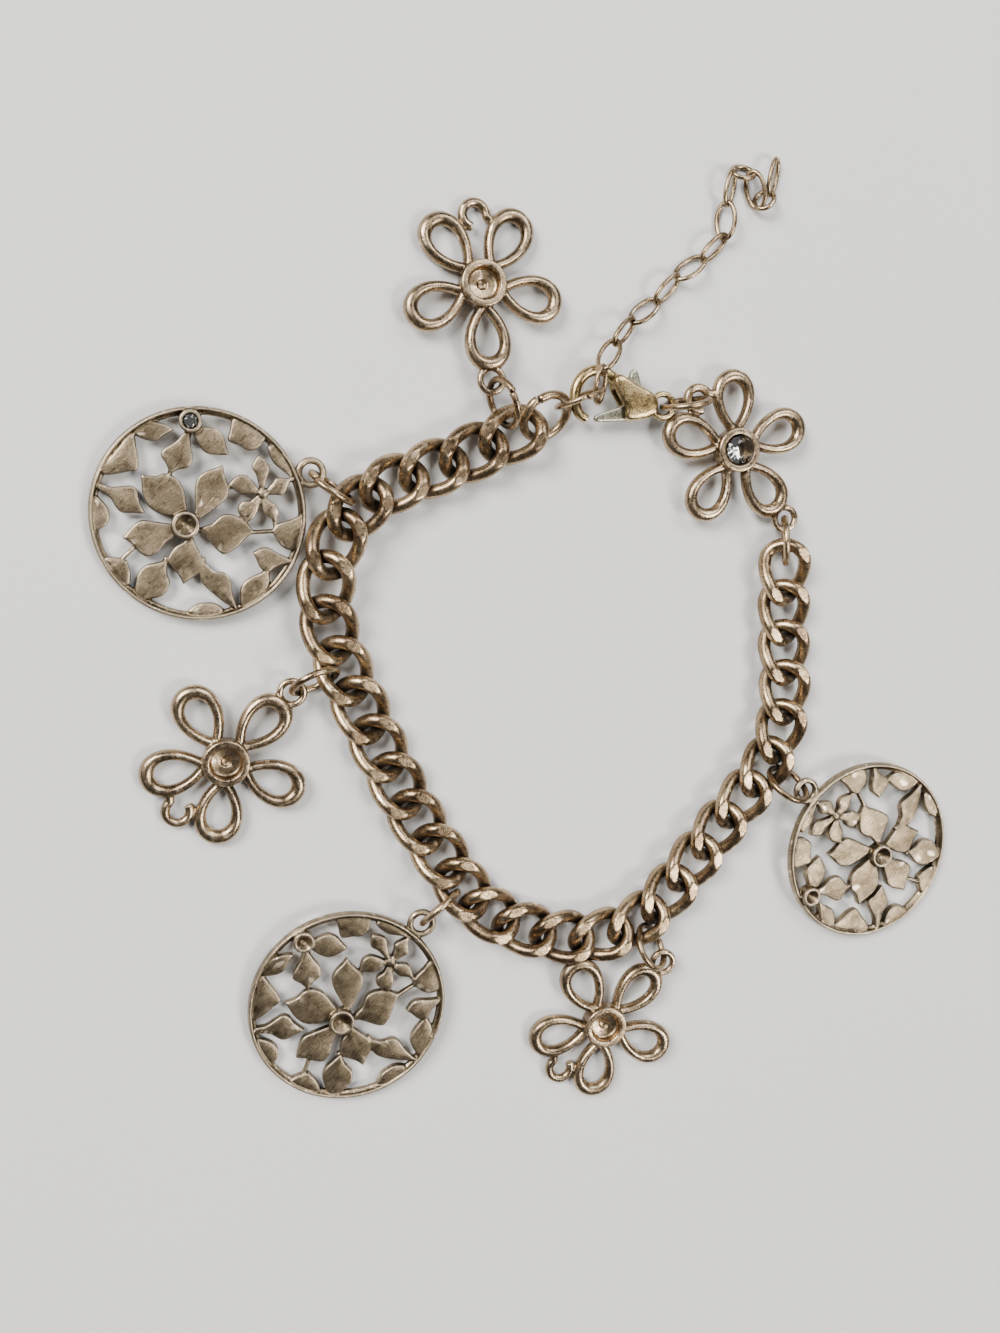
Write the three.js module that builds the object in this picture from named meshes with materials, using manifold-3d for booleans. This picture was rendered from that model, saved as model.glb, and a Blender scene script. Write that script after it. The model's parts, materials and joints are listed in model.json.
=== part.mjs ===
// Charm bracelet in antiqued brass, lying closed on a flat surface: a twisted curb chain, three pierced
// discs, three flower charms, a flower set into the chain, a lobster clasp and a fine extender chain.
// Millimetres, +Z up, the surface at z = 0.
import * as THREE from 'three';
import { mergeVertices } from 'three/addons/utils/BufferGeometryUtils.js';
import Module from 'manifold-3d';

const wasm = await Module();
wasm.setup();

// Running clearance between pieces that hook into each other
const CLEARANCE = 0.26;

// Curb chain
const CURB_LINKS = 30;
const CURB_WIRE = 1.55;
const CURB_WIDTH = 6.5;
const CURB_PLAY = 0.34; // room between neighbouring links along the chain
const CURB_FLAT = 0.2; // depth ground off the high spots of each link
const CURB_SEGMENTS = 12;
const CURB_SIDES = 5;
// How the chain lies: x, y and the height of its underside, from the first joint round to the last
const CURB_ROUTE = [
  [4.4, 23.9, 0.9],
  [-1.8, 21.5, 0.3],
  [-6.6, 19.8, 0.1],
  [-11.6, 18.6, 0.4],
  [-16.2, 16.2, 1.1],
  [-18.8, 12.1, 1.5],
  [-20.2, 7.6, 1.5],
  [-19.7, 3.0, 0.6],
  [-18.2, -1.9, 0.5],
  [-16.5, -6.6, 0.1],
  [-12.8, -16.0, 0.1],
  [-10.5, -20.8, 0.1],
  [-8.0, -25.2, 0.4],
  [-5.9, -29.2, 0.5],
  [-2.6, -32.3, 0.2],
  [5.6, -35.9, 0.1],
  [10.5, -36.4, 0.3],
  [15.6, -34.9, 0.5],
  [19.4, -31.6, 0.2],
  [26.7, -24.1, 0.1],
  [32.6, -17.4, 0.5],
  [34.7, -12.0, 0.3],
  [35.0, -1.9, 0.1],
  [35.2, 7.6, 0.5],
];

// Jump rings
const RING_OUTER = 6.0;
const RING_WIRE = 0.66;
const RING_SEGMENTS = 11;
const RING_SIDES = 5;

// Round loops cast onto the charms
const LOOP_OUTER = 3.4;
const LOOP_WIRE = 0.78;

// Flower charms
const FLOWER_RADIUS = 9.35; // the petals, cup and hook keep their proportion to it
const PETALS = 5;
const PETAL_WIDTH = FLOWER_RADIUS * 6 / 11;
const PETAL_WIRE = 1.05; // width of the petal's wire where it leaves the cup
const PETAL_TIP_WIRE = 1.45; // and at its outer end
const PETAL_HEIGHT = 1.6;
const PETAL_SEGMENTS = 10;
const CUP_RADIUS = FLOWER_RADIUS * 3 / 11;
const CUP_HEIGHT = 2.2;
const CUP_RIM = 0.7;
const CUP_SEGMENTS = 10;
const CUP_FLOOR = 0.9; // height of the dish's lowest point
const HOOK_WIRE = FLOWER_RADIUS / 11;
const HOOK_OUTER = HOOK_WIRE * 72 / 17;
const STONE_CROWN = 0.5; // height of the stone's table above its girdle
const STONE_EDGE = 0.1; // upright band round its girdle
const STONE_FACETS = 8;
const STONE_DISC = 'left'; // the disc whose rim cup still holds its stone

// Pierced discs
const DISC_RADIUS = 11.25; // the rim, stems and rim cup keep their proportion to it
const DISC_RIM = DISC_RADIUS * 4 / 75;
const DISC_HEIGHT = 1.3;
const DISC_SEGMENTS = 24;
const LEAF_HEIGHT = 0.95;
const LEAF_BASE = 0.15; // the leaves stand clear of the surface by this much
const DISC_CUP_RADIUS = 1.45;
const DISC_CUP_HEIGHT = 1.85;
const DISC_CUP_FLOOR = 1.15; // just above the leaves
const RIM_CUP_RADIUS = DISC_RIM * 2;
const DISC_CUP_WALL = 0.4;
const STEM_WIDTH = DISC_RADIUS * 2 / 45;
const STEM_DROP = 0.1; // how much thinner and lower than the leaves the stems are
const BUD_RISE = 0.15; // how far the small flower's bud stands above the leaves

// Lobster clasp, measured from the lever's pin: forward is towards the hook, side is the lever's side
const CLASP_THICKNESS = 2.7;
const HOOK_THICKNESS = 1.3;
const CLASP_AT = [17.3, 25.7];
const CLASP_BEARING = 174;
const CLASP_LIFT = 0.42; // it rests on the rings at its two ends
const CLASP_REACH = 7.6; // from the pin to the middle of the hook's wire at the nose
// Outlines and the hook's middle line, as shares of the reach
const CLASP_BODY = [[-0.25, -0.13], [0.07, -0.29], [0.32, -0.41], [0.45, -0.36], [0.4, -0.16], [0.25, 0.08],
  [0.22, 0.25], [0, 0.24], [-0.25, 0.13]];
const CLASP_SLOT = [[-0.17, -0.6], [0.23, -0.6], [0.23, -0.21], [0.6, -0.12], [0.6, 0.5], [-0.17, 0.5]];
const CLASP_HOOK = [[0.36, -0.33], [0.59, -0.45], [0.815, -0.41], [0.97, -0.23], [1, 0], [0.92, 0.19],
  [0.8, 0.27]];
const CLASP_LEVER = [[0.05, -0.48], [0.15, -0.46], [0.14, -0.16], [0.27, 0.05], [0.71, 0.19], [0.7, 0.31],
  [0.2, 0.26], [-0.05, 0.17], [-0.14, 0], [-0.05, -0.2]];
const CLASP_EYE_SHARE = 0.4; // how far behind the pin the tail ring's middle is
const CLASP_EYE_OUTER = 3.4;
const CLASP_EYE_WIRE = 0.75;
const LEVER_THICKNESS = 1.0;
const PIN_RADIUS = 0.42;
const PIN_SHORT = 0.2; // how much shorter than the clasp's thickness the pin is

// Extender chain
const EXTENDER_LINKS = 13;
const EXTENDER_WIRE = 0.52;
const EXTENDER_WIDTH = 2.7;
const EXTENDER_BITE = 0.14; // how far neighbouring links are pressed into each other
const EXTENDER_SEGMENTS = 10;
const EXTENDER_SIDES = 5;
// How the extender lies: x, y and the height of its underside, from the hook's ring to its free end
const EXTENDER_ROUTE = [
  [12, 26.2, 2.1],
  [12.9, 30.6, 2.6],
  [16.1, 34.0, 0.6],
  [20.6, 37.4, 0],
  [23.4, 40.0, 0],
  [29.0, 44.0, 0],
  [29.6, 50.0, 0],
  [32.0, 52.4, 0],
  [33.8, 46.4, 0],
  [35.8, 52.4, 0],
];

// Where the charms hang: the share of the chain's length, counted from the clasp ring's end, the bearing
// from the charm to its loop in degrees from +x, and the tilt of the jump ring that carries it
const DISC_PLACES = [
  { side: 'left', along: 0.15, slide: 1.0, out: 0.85, bearing: 17, lean: 3.2, tilt: 80 },
  { side: 'low', along: 0.48, slide: 0.3, out: 0.95, bearing: 44, lean: 3.8, tilt: 110 },
  { side: 'right', along: 0.83, slide: 0.4, out: 1.05, bearing: 135, lean: 4.2, tilt: 122 },
];
const FLOWER_PLACES = [
  { side: 'top', along: 0.015, slide: -0.3, out: 1.05, bearing: -88, lean: 4.1, tilt: 105 },
  { side: 'left', along: 0.28, slide: -0.1, out: 0.95, bearing: 42, lean: 3.3, tilt: 116 },
  { side: 'low', along: 0.65, slide: 0.5, out: 1.15, bearing: 41.5, lean: 4.3, tilt: 129 },
];
const STATION_BEARING = -54;
const STATION_LEAN = 1.3;
const STATION_LIFT = 0.88; // it lies on the rings at its two ends
const STATION_RING_TILT = 66;
const STATION_GAP = 0.52; // between the last link's end and the station's loop
const TAIL_RING_TILT = 84;
const CHAIN_RING_OUTER = 6.6;
const CHAIN_RING_WIRE = 1.0;
const CHAIN_RING_TILT = 39;
// Two points of the hook's upright ring, as shares of the clasp's reach, and where the chain's ring holds it
const HOOK_RING_FROM = [1.27, 0.12];
const HOOK_RING_TO = [0.69, -0.16];
const HOOK_RING_HELD = [-1.03, -0.53, 0];
const LAST_HOLE = 1.2; // how far inside the last link's end the station's ring goes through
const LINK_HOLE = 1.0; // how far off a link's middle a jump ring goes through it
const LOOP_PLAY = 0.1; // how far off a loop's middle a jump ring pulls

const UP = new THREE.Vector3(0, 0, 1);
const radians = THREE.MathUtils.degToRad;

// Geometry helpers

// A closed loop of wire round the curve centreAt(t), t from 0 to 2 pi, made by bending a torus.
// sizeAt(t) gives the wire's half width and half height; the loop lies roughly flat in x and y.
function wireLoop(centreAt, sizeAt, segments, sides) {
  const torus = new THREE.TorusGeometry(1, 0.5, sides, segments);
  const position = torus.getAttribute('position');
  const uv = torus.getAttribute('uv');
  const step = 1e-3;
  for (let i = 0; i < position.count; i++) {
    const t = 2 * Math.PI * uv.getX(i);
    const around = 2 * Math.PI * uv.getY(i) + Math.PI / sides;
    const along = centreAt(t + step).sub(centreAt(t - step)).normalize();
    const outward = new THREE.Vector3().crossVectors(along, UP).normalize();
    const above = new THREE.Vector3().crossVectors(outward, along);
    const [halfWidth, halfHeight] = sizeAt(t);
    const point = centreAt(t)
      .addScaledVector(outward, halfWidth * Math.cos(around))
      .addScaledVector(above, halfHeight * Math.sin(around));
    position.setXYZ(i, point.x, point.y, point.z);
  }
  return torus;
}

function roundRing(outerDiameter, wire, segments, sides) {
  const radius = (outerDiameter - wire) / 2;
  const centreAt = (t) => new THREE.Vector3(radius * Math.cos(t), radius * Math.sin(t), 0);
  return wireLoop(centreAt, () => [wire / 2, wire / 2], segments, sides);
}

// A bare-position copy of a geometry with its shared corners merged
function bare(geometry) {
  const plain = new THREE.BufferGeometry();
  const source = geometry.index ? geometry.toNonIndexed() : geometry;
  plain.setAttribute('position', source.getAttribute('position').clone());
  return mergeVertices(plain, 1e-4);
}

function solidFrom(geometry) {
  const merged = bare(geometry);
  return new wasm.Manifold(new wasm.Mesh({
    numProp: 3,
    vertProperties: new Float32Array(merged.attributes.position.array),
    triVerts: new Uint32Array(merged.index.array),
  }));
}

function geometryFrom(solid) {
  const mesh = solid.getMesh();
  const geometry = new THREE.BufferGeometry();
  geometry.setAttribute('position', new THREE.BufferAttribute(mesh.vertProperties, 3));
  geometry.setIndex(new THREE.BufferAttribute(mesh.triVerts, 1));
  geometry.computeVertexNormals();
  return geometry;
}

function joined(geometries, cutters = []) {
  const whole = geometries.map(solidFrom).reduce((sum, next) => sum.add(next));
  return geometryFrom(cutters.map(solidFrom).reduce((rest, next) => rest.subtract(next), whole));
}

function moved(geometry, x, y, z, turnDegrees = 0) {
  return geometry.rotateZ(radians(turnDegrees)).translate(x, y, z);
}

function extruded(shape, height, curveSegments = 3) {
  return new THREE.ExtrudeGeometry(shape, { depth: height, bevelEnabled: false, curveSegments });
}

// A round bar along an open curve, with flat ends
function bar(curve, radius, sides, steps) {
  const section = new THREE.Shape();
  for (let i = 0; i < sides; i++) {
    const angle = (2 * Math.PI * i) / sides;
    section[i ? 'lineTo' : 'moveTo'](radius * Math.cos(angle), radius * Math.sin(angle));
  }
  return new THREE.ExtrudeGeometry(section, { steps, bevelEnabled: false, extrudePath: curve });
}

// Materials: antiqued brass, a paler lever and clear stones
const brass = (color, roughness) => new THREE.MeshStandardMaterial({ color, metalness: 1, roughness });
const MATERIALS = {
  chain: () => brass(0x8c7a62, 0.38),
  charm: () => brass(0x93836c, 0.42),
  disc: () => brass(0x9a8c78, 0.5),
  clasp: () => brass(0xa08a5c, 0.35),
  lever: () => brass(0xb9b8a4, 0.35),
  fine: () => brass(0xa39277, 0.4),
  stone: () => new THREE.MeshStandardMaterial({ color: 0xc9c6bd, metalness: 0, roughness: 0.08 }),
};

const bracelet = new THREE.Group();

function addPiece(name, geometry, material, parent = bracelet) {
  const mesh = new THREE.Mesh(geometry, material());
  mesh.name = name;
  parent.add(mesh);
  return mesh;
}

// Curb chain
// Each link is an oval whose wire rises over one neighbour and dips under the other, with the high
// spots ground flat. Joints are where the inner ends of two neighbours meet.
const curbCurve = new THREE.CatmullRomCurve3(CURB_ROUTE.map((p) => new THREE.Vector3(...p)));
const curbJoints = curbCurve.getSpacedPoints(CURB_LINKS);
const curbPitch = curbCurve.getLength() / CURB_LINKS;
const curbLength = curbPitch + 2 * CURB_WIRE + CURB_PLAY;
const curbRise = (CURB_WIRE + CURB_PLAY) / 2;
const curbHalfHeight = curbRise + CURB_WIRE / 2 - CURB_FLAT;

function curbLinkGeometry() {
  const long = (curbLength - CURB_WIRE) / 2;
  const wide = (CURB_WIDTH - CURB_WIRE) / 2;
  const centreAt = (t) => new THREE.Vector3(
    long * Math.cos(t), wide * Math.sin(t), -curbRise * Math.sin(2 * t));
  const half = CURB_WIRE / 2;
  const link = wireLoop(centreAt, () => [half, half], CURB_SEGMENTS, CURB_SIDES);
  const position = link.getAttribute('position');
  for (let i = 0; i < position.count; i++) {
    position.setZ(i, THREE.MathUtils.clamp(position.getZ(i), -curbHalfHeight, curbHalfHeight));
  }
  return link;
}

// Position and rotation of something that reaches from one point to another, rolled about that line
function frameBetween(from, to, rollDegrees) {
  const forward = new THREE.Vector3().subVectors(to, from).normalize();
  const left = new THREE.Vector3().crossVectors(UP, forward).normalize();
  const top = new THREE.Vector3().crossVectors(forward, left);
  const basis = new THREE.Matrix4().makeBasis(forward, left, top);
  const turn = new THREE.Quaternion().setFromRotationMatrix(basis);
  const roll = new THREE.Quaternion().setFromAxisAngle(new THREE.Vector3(1, 0, 0), radians(rollDegrees));
  return { centre: new THREE.Vector3().lerpVectors(from, to, 0.5), turn: turn.multiply(roll) };
}

const curbLinks = curbJoints.slice(1).map((joint, i) => {
  const { centre, turn } = frameBetween(curbJoints[i], joint, 0);
  centre.z += curbHalfHeight;
  const link = addPiece(`curb_link_${String(i + 1).padStart(2, '0')}`, curbLinkGeometry(), MATERIALS.chain);
  link.position.copy(centre);
  link.quaternion.copy(turn);
  return link;
});

// Cast pieces

// A solid of revolution about the vertical axis, from a profile of [radius, height] pairs
function turned(profile, segments) {
  const points = profile.map(([r, z]) => new THREE.Vector2(r, z));
  return new THREE.LatheGeometry(points, segments).rotateX(Math.PI / 2);
}

// A dished cup: a plain outside, a flat rim and a cone down to its floor
function cup(radius, height, rim, floor, segments) {
  return turned([[0, 0], [radius, 0], [radius, height], [radius - rim, height], [0, floor]], segments);
}

// A pointed leaf lying along a line, widest a little past its middle
function leaf(from, to, width) {
  const length = Math.hypot(to[0] - from[0], to[1] - from[1]);
  const shape = new THREE.Shape();
  shape.moveTo(0, 0);
  shape.bezierCurveTo(0.3 * length, -0.3 * width, 0.62 * length, -0.95 * width, length, 0);
  shape.bezierCurveTo(0.62 * length, 0.95 * width, 0.3 * length, 0.3 * width, 0, 0);
  const turn = THREE.MathUtils.radToDeg(Math.atan2(to[1] - from[1], to[0] - from[0]));
  return moved(extruded(shape, LEAF_HEIGHT), from[0], from[1], LEAF_BASE, turn);
}

function stem(from, to) {
  const length = Math.hypot(to[0] - from[0], to[1] - from[1]);
  const box = new THREE.BoxGeometry(length, STEM_WIDTH, LEAF_HEIGHT - STEM_DROP);
  const turn = THREE.MathUtils.radToDeg(Math.atan2(to[1] - from[1], to[0] - from[0]));
  const height = LEAF_BASE + LEAF_HEIGHT / 2 - STEM_DROP;
  return moved(box, (from[0] + to[0]) / 2, (from[1] + to[1]) / 2, height, turn);
}

// Pierced disc. Places and lengths are shares of the disc's radius; bearings are degrees from +x.
const DISC_LOOP_BEARING = 18;
const DISC_FLOWERS = [
  { at: [-0.13, -0.09], petals: [
    { bearing: 53, long: 0.66, wide: 0.36 }, { bearing: 125, long: 0.63, wide: 0.4 },
    { bearing: 184, long: 0.61, wide: 0.35 }, { bearing: 254, long: 0.56, wide: 0.35 },
    { bearing: 348, long: 0.62, wide: 0.38 }] },
  { at: [0.61, 0.15], petals: [
    { bearing: 18, long: 0.27, wide: 0.17 }, { bearing: 90, long: 0.34, wide: 0.17 },
    { bearing: 165, long: 0.3, wide: 0.18 }, { bearing: 225, long: 0.3, wide: 0.17 },
    { bearing: 292, long: 0.31, wide: 0.17 }] },
];
const DISC_RIM_CUP = [-0.02, 0.86];
const DISC_LEAVES = [
  { from: [-0.04, 0.78], to: [-0.27, 0.43], wide: 0.25 },
  { from: [0.04, 0.78], to: [0.33, 0.53], wide: 0.24 },
  { from: [0.33, 0.67], to: [0.68, 0.66], wide: 0.2 },
  { from: [-0.46, 0.82], to: [-0.14, 0.91], wide: 0.15 },
  { from: [-0.78, 0.5], to: [-0.5, 0.78], wide: 0.26 },
  { from: [-0.8, 0.36], to: [-0.52, 0.09], wide: 0.25 },
  { from: [0.7, 0.62], to: [0.88, 0.34], wide: 0.13 },
  { from: [0.95, 0.1], to: [0.9, -0.17], wide: 0.13 },
  { from: [-0.9, -0.26], to: [-0.76, -0.54], wide: 0.15 },
  { from: [-0.7, -0.67], to: [-0.4, -0.4], wide: 0.27 },
  { from: [-0.07, -0.47], to: [0.19, -0.93], wide: 0.27 },
  { from: [0.27, -0.9], to: [0.53, -0.6], wide: 0.2 },
  { from: [0.43, -0.41], to: [0.74, -0.55], wide: 0.21 },
  { from: [0.66, -0.16], to: [0.83, -0.5], wide: 0.26 },
];
const DISC_STEMS = [
  { from: [0.44, -0.23], to: [0.7, -0.22] },
  { from: [-0.6, -0.2], to: [-0.83, -0.38] },
  { from: [-0.74, 0.55], to: [-0.76, 0.33] },
  { from: [0.25, 0.42], to: [0.38, 0.66] },
  { from: [0.2, 0.22], to: [0.42, 0.2] },
  { from: [0.8, 0.2], to: [0.96, 0.26] },
  { from: [0.68, -0.05], to: [0.7, -0.24] },
  { from: [0.68, -0.53], to: [0.8, -0.56] },
  { from: [-0.27, 0.48], to: [-0.29, 0.33] },
];
const discLoopReach = DISC_RADIUS + LOOP_OUTER / 2 - LOOP_WIRE / 2;

function bearingPoint(bearing, reach, from = [0, 0]) {
  return [from[0] + reach * Math.cos(radians(bearing)), from[1] + reach * Math.sin(radians(bearing))];
}

function bearingVector(bearing) {
  return new THREE.Vector3(...bearingPoint(bearing, 1), 0);
}

function discGeometry() {
  const scaled = (place) => place.map((share) => share * DISC_RADIUS);
  const inner = DISC_RADIUS - DISC_RIM;
  const rimProfile = [
    [inner, 0], [DISC_RADIUS, 0], [DISC_RADIUS, DISC_HEIGHT], [inner, DISC_HEIGHT], [inner, 0],
  ];
  const pieces = [turned(rimProfile, DISC_SEGMENTS)];
  for (const { at, petals } of DISC_FLOWERS) {
    for (const { bearing, long, wide } of petals) {
      pieces.push(leaf(scaled(at), scaled(bearingPoint(bearing, long, at)), wide * DISC_RADIUS));
    }
  }
  for (const { from, to, wide } of DISC_LEAVES) {
    pieces.push(leaf(scaled(from), scaled(to), wide * DISC_RADIUS));
  }
  for (const { from, to } of DISC_STEMS) pieces.push(stem(scaled(from), scaled(to)));
  const centreCup = cup(DISC_CUP_RADIUS, DISC_CUP_HEIGHT, DISC_CUP_WALL, DISC_CUP_FLOOR, 9);
  pieces.push(moved(centreCup, ...scaled(DISC_FLOWERS[0].at), 0));
  const rimCup = cup(RIM_CUP_RADIUS, DISC_CUP_HEIGHT, DISC_CUP_WALL, DISC_CUP_FLOOR, 8);
  pieces.push(moved(rimCup, ...scaled(DISC_RIM_CUP), 0));
  const leafTop = LEAF_BASE + LEAF_HEIGHT;
  const bud = turned([
    [0, LEAF_BASE], [STEM_WIDTH, LEAF_BASE], [STEM_WIDTH, leafTop - STEM_DROP], [0, leafTop + BUD_RISE],
  ], 6);
  pieces.push(moved(bud, ...scaled(DISC_FLOWERS[1].at), 0));
  const loop = roundRing(LOOP_OUTER, LOOP_WIRE, 10, 5);
  pieces.push(moved(loop, ...bearingPoint(DISC_LOOP_BEARING, discLoopReach), DISC_HEIGHT / 2));
  return joined(pieces);
}

// Flower charm, with its ring loop at +x and its open hook loop opposite, between two petals
const cupMouth = CUP_RADIUS - CUP_RIM;
const petalStart = CUP_RADIUS - PETAL_WIRE;
const petalEnd = FLOWER_RADIUS - PETAL_TIP_WIRE / 2;
const flowerLoopReach = FLOWER_RADIUS + LOOP_OUTER / 2 - LOOP_WIRE;
const flowerHookReach = 0.8 * FLOWER_RADIUS;

function petal(bearing) {
  const TEARDROP = 0.35; // how much the petal narrows towards the cup
  const FULLEST = 0.83; // largest value of the width formula
  const outAt = (t) => (1 - Math.cos(t)) / 2;
  const wide = (PETAL_WIDTH - PETAL_WIRE) / 2 / FULLEST;
  const centreAt = (t) => new THREE.Vector3(
    petalStart + (petalEnd - petalStart) * outAt(t),
    wide * Math.sin(t) * outAt(t) ** TEARDROP,
    PETAL_HEIGHT / 2);
  const wireAt = (t) => PETAL_WIRE + (PETAL_TIP_WIRE - PETAL_WIRE) * outAt(t) ** 2;
  const sizeAt = (t) => [wireAt(t) / 2, PETAL_HEIGHT / 2];
  return wireLoop(centreAt, sizeAt, PETAL_SEGMENTS, 5).rotateZ(radians(bearing));
}

function flowerGeometry() {
  const pieces = [cup(CUP_RADIUS, CUP_HEIGHT, CUP_RIM, CUP_FLOOR, CUP_SEGMENTS)];
  for (let i = 0; i < PETALS; i++) pieces.push(petal((360 * i) / PETALS));
  const loop = roundRing(LOOP_OUTER, LOOP_WIRE, 10, 5);
  pieces.push(loop.translate(flowerLoopReach, 0, PETAL_HEIGHT / 2));
  // The hook springs from one petal's flank and curls round towards the next
  const hookRadius = (HOOK_OUTER - HOOK_WIRE) / 2;
  const arc = new THREE.EllipseCurve(-flowerHookReach, 0, hookRadius, hookRadius, radians(80), radians(345));
  const root = bearingPoint(65, HOOK_OUTER / 2 + HOOK_WIRE / 2, [-flowerHookReach, 0]);
  const places = [root, ...arc.getPoints(8).map((p) => [p.x, p.y])];
  const path = new THREE.CatmullRomCurve3(
    places.map(([x, y]) => new THREE.Vector3(x, y, PETAL_HEIGHT / 2)));
  pieces.push(bar(path, HOOK_WIRE / 2, 5, 9));
  return joined(pieces);
}

// A cut stone in a cup's dish: table, crown facets and a pavilion that follows the dish
function stoneGeometry(mouth, depth) {
  const girdle = mouth - CLEARANCE;
  const girdleHeight = CLEARANCE + (girdle / mouth) * depth;
  const table = 0.55 * girdle;
  return turned([[0, CLEARANCE], [girdle, girdleHeight], [girdle, girdleHeight + STONE_EDGE],
    [table, girdleHeight + STONE_CROWN], [0, girdleHeight + STONE_CROWN]], STONE_FACETS);
}

// Charms

// Hangs a charm outside the chain beside the nearest link: its loop stands clear of the chain's edge,
// slid along by a few millimetres if need be, and the charm lies inwards from its loop along the bearing.
// A lean lifts the loop end off the surface.
function hangCharm(name, geometry, material, loop, { along, slide = 0, out = 0, bearing, lean = 0 }) {
  const index = THREE.MathUtils.clamp(Math.round(along * CURB_LINKS - 0.5), 0, CURB_LINKS - 1);
  const link = curbLinks[index];
  const charm = addPiece(name, geometry, material);
  charm.rotation.set(0, 0, radians(bearing) - loop.bearing);
  charm.rotateOnWorldAxis(bearingVector(bearing + 90), -radians(lean));
  const beside = new THREE.Vector3(slide, -(CURB_WIDTH / 2 + LOOP_OUTER / 2 + CLEARANCE + out), 0);
  const loopAt = beside.applyQuaternion(link.quaternion).add(link.position);
  seatCharm(charm, loop, loopAt);
  return { charm, link, loopAt: loopCentre(charm, loop) };
}

// Puts a turned charm's loop over a point, with the charm's lowest corner on the surface
function seatCharm(charm, loop, loopAt) {
  const offset = loop.at.clone().applyEuler(charm.rotation);
  charm.position.set(loopAt.x - offset.x, loopAt.y - offset.y, 0);
  charm.position.z = -new THREE.Box3().setFromObject(charm, true).min.z;
}

function loopCentre(charm, loop) {
  return loop.at.clone().applyEuler(charm.rotation).add(charm.position);
}

// A jump ring through two points, tilted about the line between them and never below the surface
function jumpRing(name, from, to, tilt, outer = RING_OUTER, wire = RING_WIRE) {
  const { centre, turn } = frameBetween(from, to, tilt);
  const radius = (outer - wire) / 2;
  const rise = Math.sqrt(Math.max(radius ** 2 - from.distanceToSquared(to) / 4, 0));
  const ring = addPiece(name, roundRing(outer, wire, RING_SEGMENTS, RING_SIDES), MATERIALS.chain);
  ring.quaternion.copy(turn);
  ring.position.copy(centre).add(new THREE.Vector3(0, rise, 0).applyQuaternion(turn));
  const axis = new THREE.Vector3(0, 0, 1).applyQuaternion(turn);
  ring.position.z = Math.max(ring.position.z, radius * Math.hypot(axis.x, axis.y) + wire / 2);
  return ring;
}

// Links a hung charm to its link: through the link's side and through the charm's loop
function ringFor(name, { link, loopAt }, tilt) {
  const inLink = new THREE.Vector3(0, -LINK_HOLE, 0).applyQuaternion(link.quaternion).add(link.position);
  const towards = new THREE.Vector3().subVectors(inLink, loopAt).setZ(0).normalize();
  return jumpRing(name, inLink, loopAt.clone().addScaledVector(towards, LOOP_PLAY), tilt);
}

const discLoop = {
  bearing: radians(DISC_LOOP_BEARING),
  at: new THREE.Vector3(...bearingPoint(DISC_LOOP_BEARING, discLoopReach), DISC_HEIGHT / 2),
};
const flowerLoop = { bearing: 0, at: new THREE.Vector3(flowerLoopReach, 0, PETAL_HEIGHT / 2) };
const flowerHook = { bearing: Math.PI, at: new THREE.Vector3(-flowerHookReach, 0, PETAL_HEIGHT / 2) };

for (const { side, tilt, ...place } of DISC_PLACES) {
  const hung = hangCharm(`disc_${side}`, discGeometry(), MATERIALS.disc, discLoop, place);
  ringFor(`ring_disc_${side}`, hung, tilt);
  if (side === STONE_DISC) {
    const stone = stoneGeometry(RIM_CUP_RADIUS - DISC_CUP_WALL, DISC_CUP_HEIGHT - DISC_CUP_FLOOR);
    stone.translate(...DISC_RIM_CUP.map((share) => share * DISC_RADIUS), DISC_CUP_FLOOR);
    addPiece('rim_stone', stone, MATERIALS.stone, hung.charm);
  }
}
for (const { side, tilt, ...place } of FLOWER_PLACES) {
  const hung = hangCharm(`flower_${side}`, flowerGeometry(), MATERIALS.charm, flowerLoop, place);
  ringFor(`ring_flower_${side}`, hung, tilt);
}

// The flower station joins the chain's last link to the clasp
const lastLink = curbLinks[CURB_LINKS - 1];
const station = addPiece('flower_station', flowerGeometry(), MATERIALS.charm);
station.rotation.z = radians(STATION_BEARING);
station.rotateOnWorldAxis(bearingVector(STATION_BEARING + 90), -radians(STATION_LEAN));
const linkEnd = new THREE.Vector3(curbLength / 2 + LOOP_OUTER / 2 + STATION_GAP, 0, 0);
seatCharm(station, flowerLoop, linkEnd.applyQuaternion(lastLink.quaternion).add(lastLink.position));
station.position.z += STATION_LIFT;
const stationLoop = loopCentre(station, flowerLoop);
const lastHole = new THREE.Vector3(curbLength / 2 - CURB_WIRE - LAST_HOLE, 0, 0);
lastHole.applyQuaternion(lastLink.quaternion).add(lastLink.position);
jumpRing('ring_station', lastHole, stationLoop, STATION_RING_TILT);
const stone = stoneGeometry(cupMouth, CUP_HEIGHT - CUP_FLOOR).translate(0, 0, CUP_FLOOR);
addPiece('station_stone', stone, MATERIALS.stone, station);

// Lobster clasp: a body with a ring at its tail and a hook at its nose, and a lever on a pin in its slot
const claspShares = (points) => points.map(
  ([x, y]) => new THREE.Vector2(x * CLASP_REACH, y * CLASP_REACH));
const clasp = new THREE.Group();
clasp.position.set(...CLASP_AT, CLASP_LIFT + CLASP_THICKNESS / 2);
clasp.rotation.z = radians(CLASP_BEARING);
bracelet.add(clasp);

function plate(points, thickness, holeRadius = 0) {
  const shape = new THREE.Shape(claspShares(points));
  if (holeRadius > 0) shape.holes.push(new THREE.Path().absarc(0, 0, holeRadius, 0, 2 * Math.PI, true));
  return extruded(shape, thickness, 10).translate(0, 0, -thickness / 2);
}

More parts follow.
